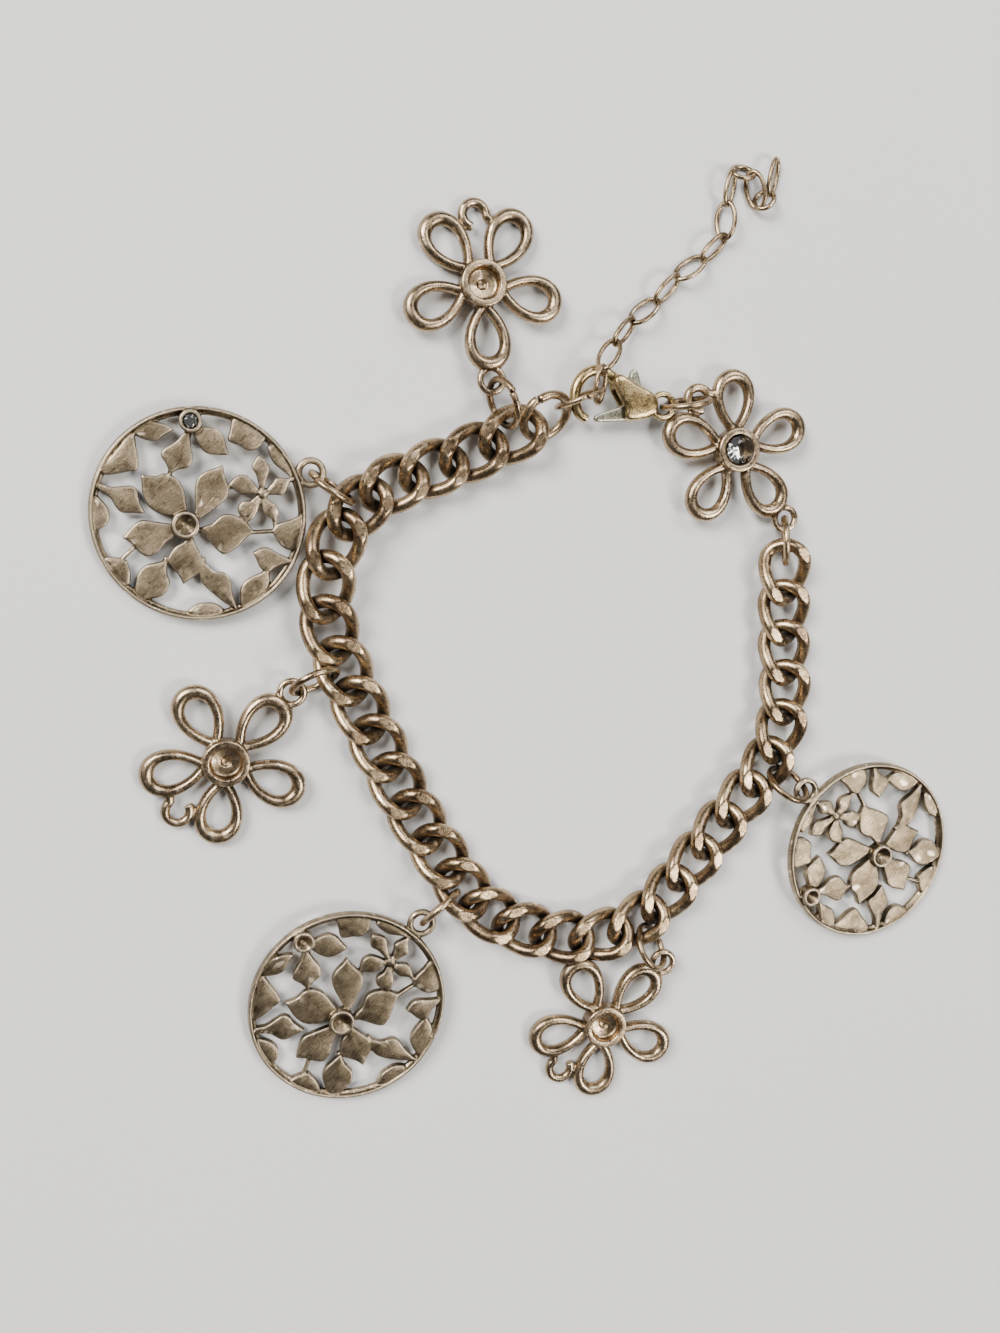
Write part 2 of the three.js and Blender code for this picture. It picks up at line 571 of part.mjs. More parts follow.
function claspBodyGeometry() {
  const hookPath = new THREE.CatmullRomCurve3(
    claspShares(CLASP_HOOK).map(({ x, y }) => new THREE.Vector3(x, y, 0)));
  const slot = plate(CLASP_SLOT, LEVER_THICKNESS + 2 * CLEARANCE);
  const hook = bar(hookPath, HOOK_THICKNESS / 2, 6, 12);
  const body = joined([plate(CLASP_BODY, CLASP_THICKNESS), hook], [slot]);
  const eye = roundRing(CLASP_EYE_OUTER, CLASP_EYE_WIRE, 12, 6);
  eye.translate(-CLASP_EYE_SHARE * CLASP_REACH, 0, 0);
  const pin = new THREE.CylinderGeometry(PIN_RADIUS, PIN_RADIUS, CLASP_THICKNESS - PIN_SHORT, 10);
  pin.rotateX(Math.PI / 2);
  return joined([body, eye, pin]);
}

addPiece('clasp_body', claspBodyGeometry(), MATERIALS.clasp, clasp);
const leverPlate = plate(CLASP_LEVER, LEVER_THICKNESS, PIN_RADIUS + CLEARANCE);
addPiece('clasp_lever', leverPlate, MATERIALS.lever, clasp);

// The station's hook loop is ringed to the clasp's tail
const claspPoint = (x, y, z = 0) => new THREE.Vector3(x * CLASP_REACH, y * CLASP_REACH, z)
  .applyEuler(clasp.rotation).add(clasp.position);
const claspEye = claspPoint(-CLASP_EYE_SHARE, 0);
jumpRing('ring_clasp_tail', loopCentre(station, flowerHook), claspEye, TAIL_RING_TILT);

// A heavier ring in the first link and a jump ring on the clasp's hook close the loop
const firstLink = curbLinks[0];
const firstHole = new THREE.Vector3(CURB_WIRE + 1.5 * CHAIN_RING_WIRE - curbLength / 2, 0, 0);
firstHole.applyQuaternion(firstLink.quaternion).add(firstLink.position);
const [hookRingFrom, hookRingTo] = [claspPoint(...HOOK_RING_FROM), claspPoint(...HOOK_RING_TO)];
const hookRing = jumpRing('ring_clasp_hook', hookRingFrom, hookRingTo, 90);
const inHookRing = new THREE.Vector3(...HOOK_RING_HELD);
inHookRing.applyQuaternion(hookRing.quaternion).add(hookRing.position);
jumpRing('ring_chain_end', firstHole, inHookRing, CHAIN_RING_TILT, CHAIN_RING_OUTER, CHAIN_RING_WIRE);

// Extender: one body, since its links are pressed into each other, rolled by turns to either side
const extenderCurve = new THREE.CatmullRomCurve3(EXTENDER_ROUTE.map((p) => new THREE.Vector3(...p)));
const extenderJoints = extenderCurve.getSpacedPoints(EXTENDER_LINKS);
const extenderHalfHeight = (EXTENDER_WIDTH - EXTENDER_WIRE) / 2 * Math.SQRT1_2 + EXTENDER_WIRE / 2;

function extenderLink(from, to, roll) {
  const { centre, turn } = frameBetween(from, to, roll);
  const long = (from.distanceTo(to) + EXTENDER_WIRE - EXTENDER_BITE) / 2;
  const wide = (EXTENDER_WIDTH - EXTENDER_WIRE) / 2;
  const centreAt = (t) => new THREE.Vector3(long * Math.cos(t), wide * Math.sin(t), 0);
  const half = EXTENDER_WIRE / 2;
  return wireLoop(centreAt, () => [half, half], EXTENDER_SEGMENTS, EXTENDER_SIDES)
    .applyQuaternion(turn).translate(centre.x, centre.y, centre.z + extenderHalfHeight);
}

const extenderLoops = extenderJoints.slice(1).map(
  (joint, i) => extenderLink(extenderJoints[i], joint, i % 2 ? -45 : 45));
addPiece('extender_chain', joined(extenderLoops), MATERIALS.fine);

// The bracelet is set down with the middle of its outline over the origin
const part = new THREE.Group();
part.add(bracelet);
const extent = new THREE.Box3().setFromObject(bracelet, true);
const middle = extent.getCenter(new THREE.Vector3());
bracelet.position.set(-middle.x, -middle.y, -extent.min.z);

export default part;
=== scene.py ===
# Dresses the charm bracelet: smooth wire, cast charms with pierced leaves, antiqued brass, cut stones,
# a pale floor and soft studio light. Shapes are made in millimetres and set down in metres.
import json
from math import cos, pi, radians, sin

import bpy
import numpy as np
from mathutils import Matrix, Vector


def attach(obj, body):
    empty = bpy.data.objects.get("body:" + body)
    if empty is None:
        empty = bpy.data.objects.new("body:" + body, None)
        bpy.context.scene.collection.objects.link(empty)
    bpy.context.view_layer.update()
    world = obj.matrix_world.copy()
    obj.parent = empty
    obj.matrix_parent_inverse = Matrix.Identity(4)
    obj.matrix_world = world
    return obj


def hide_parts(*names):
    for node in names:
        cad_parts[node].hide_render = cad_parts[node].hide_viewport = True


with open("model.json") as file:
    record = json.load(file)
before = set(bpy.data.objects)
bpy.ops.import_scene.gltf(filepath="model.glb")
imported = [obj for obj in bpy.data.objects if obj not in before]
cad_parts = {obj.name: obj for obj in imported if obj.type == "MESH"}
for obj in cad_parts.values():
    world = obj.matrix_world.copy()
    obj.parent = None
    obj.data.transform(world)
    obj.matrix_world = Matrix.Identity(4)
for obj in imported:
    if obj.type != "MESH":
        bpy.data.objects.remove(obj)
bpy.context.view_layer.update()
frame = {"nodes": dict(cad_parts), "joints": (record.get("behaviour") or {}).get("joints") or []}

MM = 0.001
BODY = "bracelet"

# Sizes in millimetres. Most are the plain solids' own; the wires of the petals, hooks, jump rings and
# extender are a little thicker.
CURB_WIRE = 1.55
CURB_WIDTH = 6.5
CURB_FLAT = 0.2  # depth ground off the high spots of each link
CURB_PLAY = 0.34  # room between the wires of two links where one holds the other
RING_OUTER = 6.05
RING_WIRE = 0.76
HOOK_RING_WIRE = 0.58  # the ring in the clasp's mouth is thinner, so that the lever clears it
CHAIN_RING_OUTER = 6.6
CHAIN_RING_WIRE = 1.0
LOOP_OUTER = 3.4
LOOP_WIRE = 0.78
FLOWER_RADIUS = 9.35
PETALS = 5
PETAL_WIDTH = 5.1
PETAL_WIRE = 1.1  # width of the petal's wire where it leaves the cup
PETAL_TIP_WIRE = 1.65  # and at its outer end
PETAL_HEIGHT = 1.6
CUP_RADIUS = 2.55
CUP_HEIGHT = 2.2
CUP_RIM = 0.7
CUP_FLOOR = 0.9
HOOK_OUTER = 3.7
HOOK_WIRE = 1.05
CLEARANCE = 0.26
DISC_RADIUS = 11.25
DISC_RIM = 0.6
DISC_HEIGHT = 1.3
LEAF_HEIGHT = 0.95
LEAF_BASE = 0.15  # height of the leaves' underside over the rim's
DISC_CUP_RADIUS = 1.45
DISC_CUP_HEIGHT = 1.85
DISC_CUP_FLOOR = 1.15
RIM_CUP_RADIUS = 1.2
DISC_CUP_WALL = 0.4
STEM_WIDTH = 0.5
CLASP_THICKNESS = 2.7
CLASP_REACH = 7.6  # from the pin to the middle of the hook's wire at the nose
HOOK_THICKNESS = 1.3
CLASP_EYE_SHARE = 0.4
CLASP_EYE_OUTER = 3.4
CLASP_EYE_WIRE = 0.75
CLASP_BEARING = 174
LEVER_THICKNESS = 1.0
PIN_RADIUS = 0.42
EXTENDER_LINKS = 13
EXTENDER_WIRE = 0.52
EXTENDER_ROUND = 0.56  # the wire's swell between the joints
EXTENDER_WIDTH = 2.7
EXTENDER_BITE = 0.14  # how far neighbouring links are pressed into each other

# How each charm lies: the bearing of its loop and the lean that lifts the loop end, in degrees
CHARM_LIES = {
    "disc_left": (17, 3.2),
    "disc_low": (44, 3.8),
    "disc_right": (135, 4.2),
    "flower_top": (-88, 4.1),
    "flower_left": (42, 3.3),
    "flower_low": (41.5, 4.3),
    "flower_station": (-54, 1.3),
}
DISC_LOOP_BEARING = 18

# From the middle of a charm to the middle of its loop, and to its end along its own x
DISC_LOOP_REACH = DISC_RADIUS + LOOP_OUTER / 2 - LOOP_WIRE / 2
DISC_REACH = DISC_LOOP_REACH * cos(radians(DISC_LOOP_BEARING)) + LOOP_OUTER / 2
FLOWER_LOOP_REACH = FLOWER_RADIUS + LOOP_OUTER / 2 - LOOP_WIRE
FLOWER_REACH = FLOWER_RADIUS + LOOP_OUTER - LOOP_WIRE


# Mesh making

def mesh_of(vertices, faces):
    mesh = bpy.data.meshes.new("shape")
    mesh.from_pydata([tuple(v) for v in vertices], [], faces)
    mesh.update()
    return mesh


def grid_faces(rings, around, closed, start=0):
    """Quads between consecutive rings of points, with end caps where the run is open."""
    faces = []
    for i in range(rings if closed else rings - 1):
        a, b = start + i * around, start + ((i + 1) % rings) * around
        faces += [(a + j, a + (j + 1) % around, b + (j + 1) % around, b + j) for j in range(around)]
    if not closed:
        faces.append(tuple(start + j for j in reversed(range(around))))
        faces.append(tuple(start + (rings - 1) * around + j for j in range(around)))
    return faces


def wire(centres, sizes, around=12, closed=True, up=(0, 0, 1)):
    """Wire along a run of centres. sizes holds a half width and a half height for each."""
    centres = np.asarray(centres, float)
    n = len(centres)
    if closed:
        along = np.roll(centres, -1, 0) - np.roll(centres, 1, 0)
    else:
        along = np.gradient(centres, axis=0)
    along /= np.linalg.norm(along, axis=1)[:, None]
    side = np.cross(along, np.asarray(up, float))
    side /= np.linalg.norm(side, axis=1)[:, None]
    above = np.cross(side, along)
    sizes = np.broadcast_to(np.asarray(sizes, float), (n, 2))
    turn = 2 * pi * np.arange(around) / around
    points = (centres[:, None] + side[:, None] * (np.cos(turn)[None, :, None] * sizes[:, None, :1])
              + above[:, None] * (np.sin(turn)[None, :, None] * sizes[:, None, 1:]))
    return points.reshape(-1, 3), grid_faces(n, around, closed)


def turned(profile, around):
    """A solid of revolution from an open profile of (radius, height) that starts and ends on the axis."""
    inner = profile[1:-1]
    turn = 2 * pi * np.arange(around) / around
    points = [(r * cos(t), r * sin(t), z) for r, z in inner for t in turn]
    faces = grid_faces(len(inner), around, True)[:(len(inner) - 1) * around]
    first, last = len(points), len(points) + 1
    points += [(0, 0, profile[0][1]), (0, 0, profile[-1][1])]
    end = (len(inner) - 1) * around
    for j in range(around):
        faces.append((first, (j + 1) % around, j))
        faces.append((last, end + j, end + (j + 1) % around))
    return np.array(points), faces


def pillow(outline, low, high, edge, crown):
    """A plate, flat below and softly domed above, with a rounded border as wide as edge."""
    outline = np.asarray(outline, float)
    middle = outline.mean(0)
    reach = np.linalg.norm(outline - middle, axis=1).mean()
    steps = [(1.0, low), (1.0, high - edge), (1 - 0.45 * edge / reach, high - 0.25 * edge),
             (1 - 1.2 * edge / reach, high), (0.45, high + 0.8 * crown), (0.15, high + crown)]
    stacked = []
    for share, z in steps:
        for p in middle + (outline - middle) * share:
            stacked.append((p[0], p[1], z))
    return np.array(stacked), grid_faces(len(steps), len(outline), False)


def smooth_path(points, count, closed=False):
    """Points spread along a smooth curve through the given ones."""
    points = np.asarray(points, float)
    if closed:
        framed = np.vstack([points[-1], points, points[0], points[1]])
    else:
        framed = np.vstack([2 * points[0] - points[1], points, 2 * points[-1] - points[-2]])
    spans = len(framed) - 3
    out = []
    for i in range(count):
        t = i / count * spans if closed else i / (count - 1) * spans
        k = min(int(t), spans - 1)
        u = t - k
        p0, p1, p2, p3 = framed[k:k + 4]
        out.append(0.5 * (2 * p1 + (p2 - p0) * u + (2 * p0 - 5 * p1 + 4 * p2 - p3) * u * u
                          + (3 * p1 - p0 - 3 * p2 + p3) * u ** 3))
    return np.array(out)


def placed(shape, x=0.0, y=0.0, z=0.0, turn=0.0):
    points, faces = shape
    c, s = cos(radians(turn)), sin(radians(turn))
    moved = np.array(points, float)
    moved[:, 0], moved[:, 1] = (c * moved[:, 0] - s * moved[:, 1] + x,
                                s * moved[:, 0] + c * moved[:, 1] + y)
    moved[:, 2] += z
    return moved, faces


def mirrored(shape):
    """The same shape upside down."""
    points, faces = shape
    return points * (1, 1, -1), [tuple(reversed(face)) for face in faces]


def together(shapes):
    points, faces, start = [], [], 0
    for p, f in shapes:
        points.append(np.asarray(p, float))
        faces += [tuple(i + start for i in face) for face in f]
        start += len(p)
    return np.vstack(points), faces


def melted(shapes, voxel, rounds):
    """One skin round overlapping solids, with the small fillets of a casting, in half its triangles."""
    source = bpy.data.objects.new("source", mesh_of(*together(shapes)))
    bpy.context.scene.collection.objects.link(source)
    remesh = source.modifiers.new("skin", "REMESH")
    remesh.mode = "VOXEL"
    remesh.voxel_size = voxel
    soften = source.modifiers.new("soften", "SMOOTH")
    soften.factor = 0.5
    soften.iterations = rounds
    lighter = source.modifiers.new("lighter", "DECIMATE")
    lighter.ratio = 0.5
    bpy.context.view_layer.update()
    graph = bpy.context.evaluated_depsgraph_get()
    skin = bpy.data.meshes.new_from_object(source.evaluated_get(graph))
    bpy.data.objects.remove(source)
    return skin


def piece(name, mesh, matrix, material, slot, body, *nodes, smooth=True):
    """A piece of the bracelet in place of its plain solid, with its place in its own mesh."""
    own = mesh.copy()
    own.transform(matrix @ Matrix.Scale(MM, 4))
    own.polygons.foreach_set("use_smooth", [smooth] * len(own.polygons))
    own.materials.append(material)
    made = bpy.data.objects.new(name, own)
    bpy.context.scene.collection.objects.link(made)
    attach(made, body)
    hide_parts(*nodes)


def node_points(name):
    mesh = frame["nodes"][name].data
    points = np.empty(len(mesh.vertices) * 3)
    mesh.vertices.foreach_get("co", points)
    return np.unique(np.round(points.reshape(-1, 3), 7), axis=0)


def own_frame(name):
    """Where a link or ring is and how it lies, from its vertices: x its longest way, z its shortest."""
    points = node_points(name)
    middle = points.mean(0)
    _, axes = np.linalg.eigh(np.cov((points - middle).T))
    x, y = axes[:, 2], axes[:, 1]
    z = np.cross(x, y)
    basis = Matrix(np.column_stack([x, y, z]).tolist())
    return Matrix.Translation(Vector(middle)) @ basis.to_4x4()


def charm_frame(name, loop_bearing, reach):
    """Where a charm's middle is, from its bearing, its lean and its vertices' box in its own frame."""
    bearing, lean = CHARM_LIES[name]
    hinge = Vector((-sin(radians(bearing)), cos(radians(bearing)), 0))
    turn = (Matrix.Rotation(-radians(lean), 3, hinge)
            @ Matrix.Rotation(radians(bearing - loop_bearing), 3, "Z"))
    own = node_points(name) @ np.array(turn)
    low, high = own.min(0), own.max(0)
    middle = Vector((high[0] - reach * MM, (low[1] + high[1]) / 2, low[2]))
    return Matrix.Translation(turn @ middle) @ turn.to_4x4()


# Materials

# The recess darkening below is partly patina and partly painted shade from an occlusion test
SHADE_AND_PATINA_REACH = 1.1  # how far the darkening in recesses looks for walls
RELIEF_DEPTH = 0.09


def millimetres(material):
    """A point of the piece, in millimetres, for the scales of its textures."""
    nodes, links = material.node_tree.nodes, material.node_tree.links
    place = nodes.new("ShaderNodeTexCoord")
    enlarged = nodes.new("ShaderNodeMapping")
    enlarged.inputs["Scale"].default_value = (1 / MM, 1 / MM, 1 / MM)
    links.new(place.outputs["Object"], enlarged.inputs["Vector"])
    return enlarged.outputs["Vector"]


def antique(name, dark, low, high, rough, grain=0.0, brushed=0.0):
    """Cast or drawn metal, darkened in its recesses by patina and painted shade, and brightened at its
    edges by wear where hands reach and a painted highlight.
    """
    material = bpy.data.materials.new(name)
    material.use_nodes = True
    nodes, links = material.node_tree.nodes, material.node_tree.links
    shader = nodes["Principled BSDF"]
    shader.inputs["Metallic"].default_value = 1.0
    place = millimetres(material)

    def noise(scale, detail, roughness=0.55, vector=None):
        made = nodes.new("ShaderNodeTexNoise")
        made.inputs["Scale"].default_value = scale
        made.inputs["Detail"].default_value = detail
        made.inputs["Roughness"].default_value = roughness
        links.new(vector or place, made.inputs["Vector"])
        return made.outputs["Fac"]

    def ramp(source, stops):
        made = nodes.new("ShaderNodeValToRGB")
        elements = made.color_ramp.elements
        while len(elements) < len(stops):
            elements.new(0.5)
        for element, (at, value) in zip(elements, stops):
            element.position = at
            element.color = (*value, 1) if isinstance(value, tuple) else (value, value, value, 1)
        links.new(source, made.inputs["Fac"])
        return made.outputs["Color"]

    def mix(factor, a, b):
        made = nodes.new("ShaderNodeMix")
        made.data_type = "RGBA"
        for socket, value in (("Factor", factor), ("A", a), ("B", b)):
            kind_wanted = "VALUE" if socket == "Factor" else "RGBA"
            target = [s for s in made.inputs if s.name == socket and s.type == kind_wanted][0]
            if isinstance(value, (float, int)):
                target.default_value = value
            elif isinstance(value, tuple):
                target.default_value = (*value, 1)
            else:
                links.new(value, target)
        return [s for s in made.outputs if s.type == "RGBA"][0]

    tarnish = ramp(noise(0.32, 5), [(0.38, 0.0), (0.66, 1.0)])
    speck = noise(5.5, 4, 0.7)
    metal = mix(tarnish, low, high)
    metal = mix(ramp(speck, [(0.36, 0.6), (0.56, 0.0)]), metal, dark)
    relief = speck
    if brushed:
        along = nodes.new("ShaderNodeMapping")
        along.vector_type = "TEXTURE"
        along.inputs["Rotation"].default_value = (0, 0, radians(38))
        along.inputs["Scale"].default_value = (0.9, 0.06, 0.9)
        links.new(place, along.inputs["Vector"])
        strokes = noise(1.0, 4, 0.6, along.outputs["Vector"])
        metal = mix(ramp(strokes, [(0.36, brushed), (0.60, 0.0)]), metal, dark)
        relief = mix(0.6, speck, strokes)
    # Painted shade with patina: an occlusion test mixes the dark tone into recesses and where pieces lie
    # close together
    occlusion_shade = nodes.new("ShaderNodeAmbientOcclusion")
    occlusion_shade.samples = 8
    occlusion_shade.inputs["Distance"].default_value = SHADE_AND_PATINA_REACH * MM
    depth = ramp(occlusion_shade.outputs["AO"], [(0.32, 0.0), (0.82, 1.0)])
    # Painted highlight with wear: sharp edges, found by pointiness, are painted a tone brighter than the
    # bright metal
    shape = nodes.new("ShaderNodeNewGeometry")
    edge = ramp(shape.outputs["Pointiness"], [(0.5, 0.0), (0.58, 1.0)])
    metal = mix(edge, metal, tuple(min(1.0, c + 0.14) for c in high))
    links.new(mix(depth, dark, metal), shader.inputs["Base Color"])
    worn = ramp(noise(1.6, 6, 0.65), [(0.3, rough - 0.08), (0.75, rough + 0.16)])
    dull = mix(depth, (0.62, 0.62, 0.62), worn)
    links.new(dull, shader.inputs["Roughness"])
    bump = nodes.new("ShaderNodeBump")
    bump.inputs["Strength"].default_value = 0.22 + grain
    bump.inputs["Distance"].default_value = RELIEF_DEPTH * MM
    links.new(relief, bump.inputs["Height"])
    links.new(bump.outputs["Normal"], shader.inputs["Normal"])
    return material


BRONZE = antique("AntiqueChain", (0.016, 0.011, 0.007), (0.25, 0.17, 0.10), (0.62, 0.46, 0.28), rough=0.27)
CAST = antique("AntiqueCast", (0.010, 0.008, 0.006), (0.22, 0.155, 0.09), (0.60, 0.44, 0.27), rough=0.25)
LEAF = antique("AntiqueDisc", (0.016, 0.012, 0.008), (0.20, 0.15, 0.09), (0.54, 0.42, 0.27), rough=0.33,
               grain=0.3, brushed=0.65)
CLASP = antique("AntiqueClasp", (0.03, 0.02, 0.01), (0.32, 0.22, 0.09), (0.64, 0.47, 0.23), rough=0.24)
LEVER = antique("PaleLever", (0.04, 0.04, 0.03), (0.34, 0.32, 0.23), (0.58, 0.55, 0.42), rough=0.24)
FINE = antique("FineChain", (0.018, 0.012, 0.008), (0.27, 0.19, 0.11), (0.60, 0.45, 0.28), rough=0.26)


def cut_glass():
    material = bpy.data.materials.new("CutStone")
    material.use_nodes = True
    nodes, links = material.node_tree.nodes, material.node_tree.links
    shader = nodes["Principled BSDF"]
    shader.inputs["Transmission Weight"].default_value = 1.0
    shader.inputs["IOR"].default_value = 1.54
    haze = nodes.new("ShaderNodeTexNoise")
    haze.inputs["Scale"].default_value = 1.4
    links.new(millimetres(material), haze.inputs["Vector"])
    tint = nodes.new("ShaderNodeValToRGB")
    tint.color_ramp.elements[0].color = (0.78, 0.75, 0.68, 1)
    tint.color_ramp.elements[1].color = (0.92, 0.90, 0.86, 1)
    links.new(haze.outputs["Fac"], tint.inputs["Fac"])
    links.new(tint.outputs["Color"], shader.inputs["Base Color"])
    film = nodes.new("ShaderNodeMapRange")
    film.inputs["To Min"].default_value = 0.0
    film.inputs["To Max"].default_value = 0.06
    links.new(haze.outputs["Fac"], film.inputs["Value"])
    links.new(film.outputs["Result"], shader.inputs["Roughness"])
    return material


GLASS = cut_glass()


# Curb chain

CURB_STEPS, CURB_AROUND = 96, 28
CURB_CREASE = 22  # faces that meet at more than this keep a sharp edge, in degrees


def curb_link(pitch):
    long = (pitch + CURB_WIRE + CURB_PLAY) / 2
    wide = (CURB_WIDTH - CURB_WIRE) / 2
    rise = (CURB_WIRE + CURB_PLAY) / 2
    half_height = rise + CURB_WIRE / 2 - CURB_FLAT
    turn = 2 * pi * np.arange(CURB_STEPS) / CURB_STEPS
    centres = np.column_stack([long * np.cos(turn), wide * np.sin(turn), -rise * np.sin(2 * turn)])
    points, faces = wire(centres, (CURB_WIRE / 2, CURB_WIRE / 2), CURB_AROUND)
    points[:, 2] = np.clip(points[:, 2], -half_height, half_height)
    return mesh_of(points, faces)


link_names = sorted(n for n in frame["nodes"] if n.startswith("curb_link"))
link_frames = [own_frame(n) for n in link_names]
spans = [(a.translation - b.translation).length / MM for a, b in zip(link_frames, link_frames[1:])]
link_mesh = curb_link(float(np.median(spans)))
link_mesh.set_sharp_from_angle(angle=radians(CURB_CREASE))
for name, where in zip(link_names, link_frames):
    piece(name.replace("curb_link", "chain_link"), link_mesh, where, BRONZE, "chain", BODY, name)


# Jump rings, each bent from wire with its cut ends together

RING_STEPS, RING_AROUND = 60, 14
RING_CUT = 1.6  # half the cut between the ends, in degrees
RING_SPRING = 0.10  # how far each end stands off to its side


def ring_mesh(outer, thick):
    radius = (outer - thick) / 2
    gap = radians(RING_CUT)
    turn = np.linspace(gap, 2 * pi - gap, RING_STEPS)
    spread = RING_SPRING * np.linspace(-1, 1, RING_STEPS)
    centres = np.column_stack([radius * np.cos(turn), radius * np.sin(turn), spread])
    return mesh_of(*wire(centres, (thick / 2, thick / 2), RING_AROUND, closed=False))


RING_SIZES = {
    "ring_chain_end": (CHAIN_RING_OUTER, CHAIN_RING_WIRE),
    "ring_clasp_hook": (RING_OUTER, HOOK_RING_WIRE),
}
for name in sorted(n for n in frame["nodes"] if n.startswith("ring_")):
    mesh = ring_mesh(*RING_SIZES.get(name, (RING_OUTER, RING_WIRE)))
    piece("jump_" + name, mesh, own_frame(name), BRONZE, "chain", BODY, name)


# Flower charms

PETAL_STEPS = 72
PETAL_BITE = 0.22  # how far the petal's wire reaches into the cup
PETAL_TEARDROP = 0.35  # how much the petal narrows towards the cup
PETAL_FULLEST = 0.83  # about the largest value of the width formula
HOOK_PLACE = 0.8  # the hook's middle, as a share of the flower's radius
HOOK_ROOT = 65  # where the hook springs from the petal, and where it curls from and to, in degrees
HOOK_CURL = (80, 345)
CAST_VOXEL = 0.1


def circle(radius, count, x=0.0, y=0.0, z=0.0, start=0.0, stop=360.0):
    whole = stop - start >= 360
    turn = np.radians(np.linspace(start, stop, count, endpoint=not whole))
    return np.column_stack([x + radius * np.cos(turn), y + radius * np.sin(turn), np.full(count, z)])


def petal_wire(bearing):
    start, end = CUP_RADIUS - PETAL_BITE, FLOWER_RADIUS - PETAL_TIP_WIRE / 2
    turn = 2 * pi * np.arange(PETAL_STEPS) / PETAL_STEPS
    out = (1 - np.cos(turn)) / 2
    wide = (PETAL_WIDTH - PETAL_WIRE) / 2 / PETAL_FULLEST
    middle = np.full(PETAL_STEPS, PETAL_HEIGHT / 2)
    across = wide * np.sin(turn) * out ** PETAL_TEARDROP
    centres = np.column_stack([start + (end - start) * out, across, middle])
    half = (PETAL_WIRE + (PETAL_TIP_WIRE - PETAL_WIRE) * out ** 2) / 2
    rim = wire(centres, np.column_stack([half, middle]), 14)
    return placed(rim, turn=bearing)


def cast_loop(x, y, z):
    """The round loop cast onto a charm."""
    path = circle((LOOP_OUTER - LOOP_WIRE) / 2, 40, x, y, z)
    return wire(path, (LOOP_WIRE / 2, LOOP_WIRE / 2), 12)


def flower():
    mouth = CUP_RADIUS - CUP_RIM
    middle = PETAL_HEIGHT / 2
    shapes = [turned([(0, 0), (CUP_RADIUS - 0.15, 0), (CUP_RADIUS, 0.15), (CUP_RADIUS, CUP_HEIGHT - 0.1),
                      (CUP_RADIUS - 0.12, CUP_HEIGHT), (mouth, CUP_HEIGHT),
                      (mouth - 0.1, CUP_HEIGHT - 0.15), (mouth - 0.14, CUP_FLOOR + 0.4),
                      (mouth - 0.35, CUP_FLOOR + 0.22),
                      (0.6, CUP_FLOOR + 0.1), (0.46, CUP_FLOOR - 0.15), (0, CUP_FLOOR - 0.22)], 48)]
    shapes += [petal_wire(360 * i / PETALS) for i in range(PETALS)]
    shapes.append(cast_loop(FLOWER_LOOP_REACH, 0, middle))
    hook = HOOK_PLACE * FLOWER_RADIUS
    out = (HOOK_OUTER + HOOK_WIRE) / 2
    root = (-hook + cos(radians(HOOK_ROOT)) * out, sin(radians(HOOK_ROOT)) * out, middle)
    arc = circle((HOOK_OUTER - HOOK_WIRE) / 2, 34, -hook, 0, middle, *HOOK_CURL)
    path = np.vstack([[root], arc])
    shapes.append(wire(path, (HOOK_WIRE / 2, HOOK_WIRE / 2), 12, closed=False))
    return melted(shapes, CAST_VOXEL, 2)


flower_mesh = flower()
for name in ("flower_top", "flower_left", "flower_low", "flower_station"):
    where = charm_frame(name, 0, FLOWER_REACH)
    piece(name.replace("flower", "petal_charm"), flower_mesh, where, CAST, "charm", BODY, name)


# Pierced discs. Places and lengths are shares of the disc's radius.

DISC_VOXEL = 0.095
DISC_CUP = (-0.13, -0.09)
DISC_BUD = (0.60, 0.17)
DISC_RIM_CUP = (-0.02, 0.86)
DISC_STEMS = [
    ((0.46, -0.19), (0.72, -0.19)), ((-0.60, -0.27), (-0.78, -0.42)), ((0.84, 0.28), (0.95, 0.30)),
    ((-0.25, 0.32), (-0.23, 0.44)), ((0.27, 0.24), (0.33, 0.25)), ((0.69, -0.06), (0.70, -0.16)),
    ((-0.33, -0.38), (-0.35, -0.47)), ((0.01, -0.40), (0.02, -0.50)), ((0.60, -0.54), (0.60, -0.62)),
    ((0.42, -0.13), (0.43, -0.05)), ((-0.05, 0.70), (-0.03, 0.80)), ((0.78, -0.49), (0.86, -0.48)),
]

